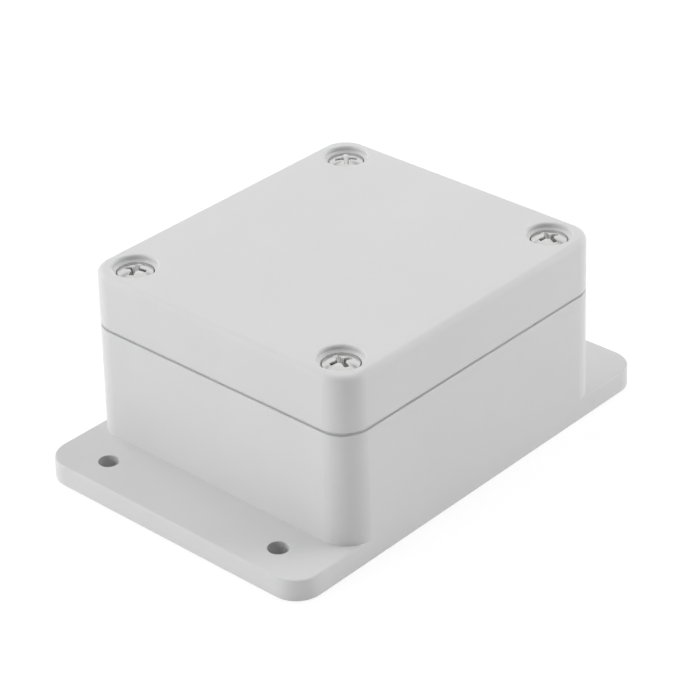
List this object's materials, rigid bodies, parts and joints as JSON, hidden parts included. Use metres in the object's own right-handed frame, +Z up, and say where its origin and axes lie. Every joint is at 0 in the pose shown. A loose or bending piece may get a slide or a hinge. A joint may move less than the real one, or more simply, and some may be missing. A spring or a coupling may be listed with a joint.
{
  "type": "plastic project box",
  "caption": "Small rectangular plastic project box with flanged mounting ears and a sealed lid held down by corner screws in stepped wells.",
  "frame": {"origin": "middle of the underside, on the plane that the box stands on", "axes": "+X along the box from ear to ear, +Y across it, +Z up through the lid"},
  "size_m": [0.089, 0.059, 0.035],
  "materials": {
    "box_plastic": "fine satin moulded texture, light grey",
    "seal_rubber": "soft matt seal",
    "screw_steel": "bright plated steel"
  },
  "bodies": {
    "base": {"base": "box_plastic"},
    "lid": {"lid": "box_plastic", "gasket": "seal_rubber"},
    "lid_screw_front_left": {"lid_screw_front_left": "screw_steel"},
    "lid_screw_front_right": {"lid_screw_front_right": "screw_steel"},
    "lid_screw_back_left": {"lid_screw_back_left": "screw_steel"},
    "lid_screw_back_right": {"lid_screw_back_right": "screw_steel"}
  },
  "joints": [
    {"name": "lid_lift", "type": "slide", "parent": "base", "child": "lid", "axis": [0, 0, 1], "range_m": [0, 0.04]},
    {"name": "lid_screw_front_left_turn", "type": "hinge", "parent": "lid", "child": "lid_screw_front_left", "pos_m": [-0.02617, -0.02297, 0.03225], "axis": [0, 0, 1], "continuous": true},
    {"name": "lid_screw_front_right_turn", "type": "hinge", "parent": "lid", "child": "lid_screw_front_right", "pos_m": [0.02617, -0.02297, 0.03225], "axis": [0, 0, 1], "continuous": true},
    {"name": "lid_screw_back_left_turn", "type": "hinge", "parent": "lid", "child": "lid_screw_back_left", "pos_m": [-0.02617, 0.02297, 0.03225], "axis": [0, 0, 1], "continuous": true},
    {"name": "lid_screw_back_right_turn", "type": "hinge", "parent": "lid", "child": "lid_screw_back_right", "pos_m": [0.02617, 0.02297, 0.03225], "axis": [0, 0, 1], "continuous": true}
  ]
}
